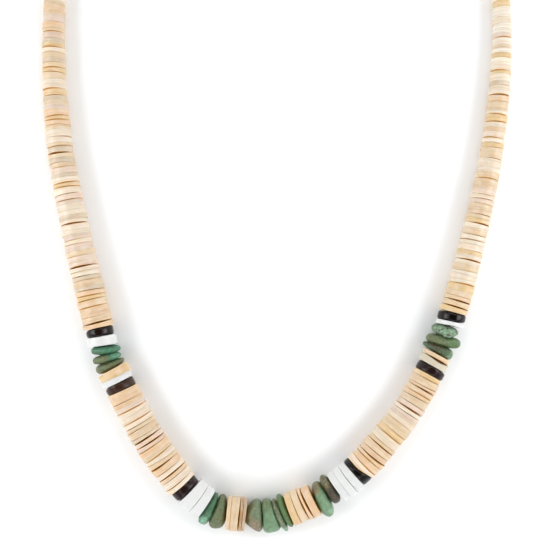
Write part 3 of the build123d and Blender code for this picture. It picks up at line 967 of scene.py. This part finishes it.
BACK_DISC_RANGE = (0.7, 1.5)      # thickness of a small disc at the back, in mm
LAST_BACK_DISC = 1.6 * MM         # the last one fills what is left, once that is no more than this
BACK_STRING_GAP = 0.1 * MM        # between a back string and what it meets at each end
BACK_RADII = (0.97, 1.0)          # share of the thread's height over the table
BACK_SEAMS = ("tight", "tight", "soft", "orange", "fine")


class NECKLACE_OT_back_strings(bpy.types.Operator):
    """String the small discs of the back of the neck"""

    bl_idname = "necklace.back_strings"
    bl_label = "Back strings"

    def execute(self, context):
        settings = context.scene.necklace_discs
        colours = context.scene.necklace_shell
        finish = Finish(settings.back_sides, 0, settings.out_of_round, settings.out_of_line,
                        settings.nick / 2, 2)
        material = tumbled_shell(colours)
        draw = random.Random(8)
        low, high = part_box("barrel_clasp")
        first, last = BEADS[0], BEADS[-1]
        spans = {
            "left_back_string": (station_of(np.array([low.x, low.y, low.z])) + BACK_STRING_GAP,
                                 station_of(first.centre) - first.thickness / 2 - BACK_STRING_GAP),
            "right_back_string": (station_of(last.centre) + last.thickness / 2 + BACK_STRING_GAP,
                                  station_of(np.array([high.x, low.y, low.z])) - BACK_STRING_GAP),
        }
        for name, (start, end) in spans.items():
            edges = [start]
            while edges[-1] < end - LAST_BACK_DISC:
                edges.append(edges[-1] + draw.uniform(*BACK_DISC_RANGE) * MM)
            edges.append(end)
            planes = []
            for edge in edges:
                look = SEAM_LOOKS[draw.choice(BACK_SEAMS)]
                planes.append(Seam(*on_line(edge), settings.seam, look.opening * MM,
                                   draw.uniform(0, math.tau), look.edge * MM, look.stain))
            parts = []
            for left, right in zip(planes, planes[1:]):
                centre = (left.point + right.point) / 2
                along = unit(left.normal + right.normal)
                inward = unit(np.cross(UP, along))
                bead = Bead(name, centre, along, inward, np.cross(along, inward),
                            centre[2] * draw.uniform(*BACK_RADII),
                            np.linalg.norm(right.point - left.point))
                skin, place, inside = disc_skin(bead, left, right, finish, draw)
                tone = shaded(getattr(colours, draw.choice(RUN_TONES[name].split())), draw, TAN_SPREAD)
                parts.append((skin, tone, place, inside))
            ring_piece(f"{name}_ground", parts, material, name)
        return {"FINISHED"}


def twisted_thread(colours):
    """Waxed nylon beading thread, twisted: a dull brown cord with slanting strands."""
    material, tree = new_material("waxed_beading_thread")
    place = node(tree, "ShaderNodeTexCoord").outputs["Object"]
    # strands 0.4 mm apart
    strands = node(tree, "ShaderNodeTexWave", {"bands_direction": "DIAGONAL"},
                   {"Vector": place, "Scale": 0.9 / MM, "Distortion": 0.6}).outputs[0]
    # painted shade: the dark thread colour fills the hollows between the strands, and the lighter one lies
    # on them
    base = layer(tree, strands, ((0.2, 0.0), (0.8, 0.8)), rgb(colours.thread), colours.thread_strand)
    finish_material(tree, base, 0.65, (strands, 0.8, 0.05))
    return material


def worn_silver(colours):
    """Turned silver: bright, with fine rings from the lathe and a dull bloom from handling."""
    material, tree = new_material("turned_silver")
    place = node(tree, "ShaderNodeTexCoord").outputs["Object"]
    rings = grain(tree, place, (14 / MM, 0.3 / MM, 0.3 / MM), 3.0)      # rings 0.07 mm apart
    bloom = grain(tree, place, (0.9 / MM, 0.9 / MM, 0.9 / MM), 4.0)     # bloom in spots 1.1 mm wide
    base = layer(tree, bloom, ((0.45, 0.0), (0.75, 0.6)), rgb(colours.silver), colours.dull_silver)
    finish_material(tree, base, (bloom, 0.22, 0.42), (rings, 0.5, 0.01), {"Metallic": 1.0})
    return material


CLASP_SIDES = 64
CLASP_CREASE = math.radians(25)       # sharper edges than this stay sharp
CLASP_TONE = (0.8, 0.8, 0.8)          # every piece keeps a tone, and the silver doesn't show it

# Half of the clasp's outline, from the bottom of its bore to its middle: how far out along the barrel,
# as a share of its half length, and how far from its axis, as a share of its radius
CLASP_OUTLINE = [(0.44, 0.02), (0.44, 0.27), (0.97, 0.27), (1.0, 0.31), (1.0, 0.58), (0.98, 0.62),
                 (0.77, 0.62), (0.764, 0.64), (0.764, 0.76), (0.755, 0.79), (0.70, 0.985), (0.68, 1.0)]


class NECKLACE_OT_thread_and_clasp(bpy.types.Operator):
    """Finish the thread and turn the barrel clasp"""

    bl_idname = "necklace.thread_and_clasp"
    bl_label = "Thread and clasp"

    def execute(self, context):
        colours = context.scene.necklace_fittings
        thread = NODES["thread"]
        thread.data.materials.clear()
        thread.data.materials.append(twisted_thread(colours))
        low, high = (np.array(corner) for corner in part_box("barrel_clasp"))
        middle = (low + high) / 2
        half, radius = (high - low)[0] / 2, (high - low)[2] / 2
        outline = [(-along, out) for along, out in CLASP_OUTLINE] + CLASP_OUTLINE[::-1]
        turns = np.linspace(0, math.tau, CLASP_SIDES, endpoint=False)
        skin = np.array([[middle + [along * half, radius * out * math.cos(turn),
                                    radius * out * math.sin(turn)] for turn in turns]
                         for along, out in outline])
        part = (skin, CLASP_TONE, (skin - middle) / MM, 0.0)
        clasp = ring_piece("barrel_clasp_turned", [part], worn_silver(colours), "barrel_clasp")
        clasp.data.set_sharp_from_angle(angle=CLASP_CREASE)
        return {"FINISHED"}


DAYLIGHT = (0.955, 0.98, 1.0)         # tint of the tent's light
GLOW_SHARE = 0.1                      # of the brightness, kept in a ramp whose colours stay under 1
OPENING_LIGHT = 0.02                  # from the tent's opening overhead
TABLE_REACH = 3.0
TABLE_DROP = 0.02 * MM                # keeps the table's top clear of the lowest rim

# Soft lamps: where each stands, in m, and the setting that holds its power
LAMPS = {
    "front": ((0.0, -0.38, 0.24), "front_light"),
    "back": ((0.06, 0.22, 0.26), "back_light"),
    "left": ((-0.30, -0.02, 0.2), "side_light"),
    "right": ((0.30, -0.02, 0.2), "side_light"),
}
LAMP_SIZE = 0.2
LAMP_AIM = Vector((0, -40 * MM, 0))


def table_board(colour, shade):
    """White painted board: matt, with the faintest unevenness, so that it takes soft shadows."""
    material, tree = new_material("white_painted_board")
    place = node(tree, "ShaderNodeTexCoord").outputs["Object"]
    # mottle 17 mm wide
    mottle = node(tree, "ShaderNodeTexNoise", inputs={"Vector": place, "Scale": 0.06 / MM}).outputs[0]
    base = layer(tree, mottle, ((0.3, 0.0), (0.7, 0.3)), rgb(colour), shade)
    finish_material(tree, base, 0.7, more={"Specular IOR Level": 0.2})
    return material


class NECKLACE_OT_stage(bpy.types.Operator):
    """Lay out the table, the lights and the camera"""

    bl_idname = "necklace.stage"
    bl_label = "Stage"

    def execute(self, context):
        scene = context.scene
        settings = scene.necklace_stage
        reach = TABLE_REACH
        mesh = bpy.data.meshes.new("table")
        mesh.from_pydata([(-reach, -reach, 0), (reach, -reach, 0), (reach, reach, 0), (-reach, reach, 0)],
                         [], [(0, 1, 2, 3)])
        mesh.materials.append(table_board(settings.table, settings.table_shade))
        table = bpy.data.objects.new("table", mesh)
        scene.collection.objects.link(table)
        table.location.z = -TABLE_DROP

        world = bpy.data.worlds.new("light_tent")
        world.use_nodes = True
        tree = world.node_tree
        tree.nodes.clear()
        way = node(tree, "ShaderNodeTexCoord").outputs["Generated"]
        height = node(tree, "ShaderNodeSeparateXYZ", inputs={"Vector": way}).outputs["Z"]
        ring, tent, wall = settings.ring_light, settings.tent_light, settings.wall_light
        # the tent's walls are bright near the table, its opening overhead is dark, and a ring of lamps
        # stands round that: each level is the sine of its angle above the table
        levels = ((0.0, wall), (0.20, wall), (0.32, tent), (0.70, tent), (0.745, ring), (0.825, ring),
                  (0.86, OPENING_LIGHT))
        stops = [(level, [power * GLOW_SHARE * part for part in DAYLIGHT]) for level, power in levels]
        glow = node(tree, "ShaderNodeValToRGB", inputs={"Fac": height}, stops=stops).outputs[0]
        back = node(tree, "ShaderNodeBackground", inputs={"Color": glow, "Strength": 1 / GLOW_SHARE})
        node(tree, "ShaderNodeOutputWorld", inputs={"Surface": back.outputs[0]})
        scene.world = world

        for name, (place, power) in LAMPS.items():
            data = bpy.data.lights.new(name, "AREA")
            data.energy = getattr(settings, power)
            data.size = LAMP_SIZE
            lamp = bpy.data.objects.new(name, data)
            lamp.location = place
            lamp.rotation_euler = (LAMP_AIM - Vector(place)).to_track_quat("-Z", "Y").to_euler()
            scene.collection.objects.link(lamp)

        data = bpy.data.cameras.new("camera")
        data.sensor_width = 36
        data.angle = settings.view_angle
        data.clip_start = 0.01
        camera = bpy.data.objects.new("camera", data)
        camera.location = (settings.camera_x, settings.camera_y, settings.camera_height)
        scene.collection.objects.link(camera)
        scene.camera = camera
        scene.view_settings.view_transform = "Standard"
        scene.view_settings.look = "None"
        return {"FINISHED"}


class NECKLACE_PT_sidebar(bpy.types.Panel):
    """The necklace's pieces and settings"""

    bl_idname = "NECKLACE_PT_sidebar"
    bl_label = "Necklace"
    bl_space_type = "VIEW_3D"
    bl_region_type = "UI"
    bl_category = "Necklace"

    def draw(self, context):
        for operator in OPERATORS:
            self.layout.operator(operator.bl_idname)
        for name, group in SETTINGS.items():
            box = self.layout.box()
            for setting in group.__annotations__:
                box.prop(getattr(context.scene, name), setting)


OPERATORS = (NECKLACE_OT_stage, NECKLACE_OT_tan_discs, NECKLACE_OT_white_discs, NECKLACE_OT_black_discs,
             NECKLACE_OT_turquoise, NECKLACE_OT_back_strings, NECKLACE_OT_thread_and_clasp)
SETTINGS = {
    "necklace_discs": DiscSettings,
    "necklace_shell": ShellColours,
    "necklace_stones": StoneColours,
    "necklace_fittings": FittingColours,
    "necklace_stage": StageSettings,
}


def register():
    """Add the settings, the operators and the panel."""
    for made in (*SETTINGS.values(), *OPERATORS, NECKLACE_PT_sidebar):
        bpy.utils.register_class(made)
    for name, group in SETTINGS.items():
        setattr(bpy.types.Scene, name, bpy.props.PointerProperty(type=group))


def unregister():
    """Take them away again."""
    for name in SETTINGS:
        delattr(bpy.types.Scene, name)
    for made in reversed((*SETTINGS.values(), *OPERATORS, NECKLACE_PT_sidebar)):
        bpy.utils.unregister_class(made)


def main():
    """Make the whole scene."""
    register()
    bpy.ops.necklace.stage()
    bpy.ops.necklace.tan_discs()
    bpy.ops.necklace.white_discs()
    bpy.ops.necklace.black_discs()
    bpy.ops.necklace.turquoise()
    bpy.ops.necklace.back_strings()
    bpy.ops.necklace.thread_and_clasp()


if __name__ == "__main__":
    main()
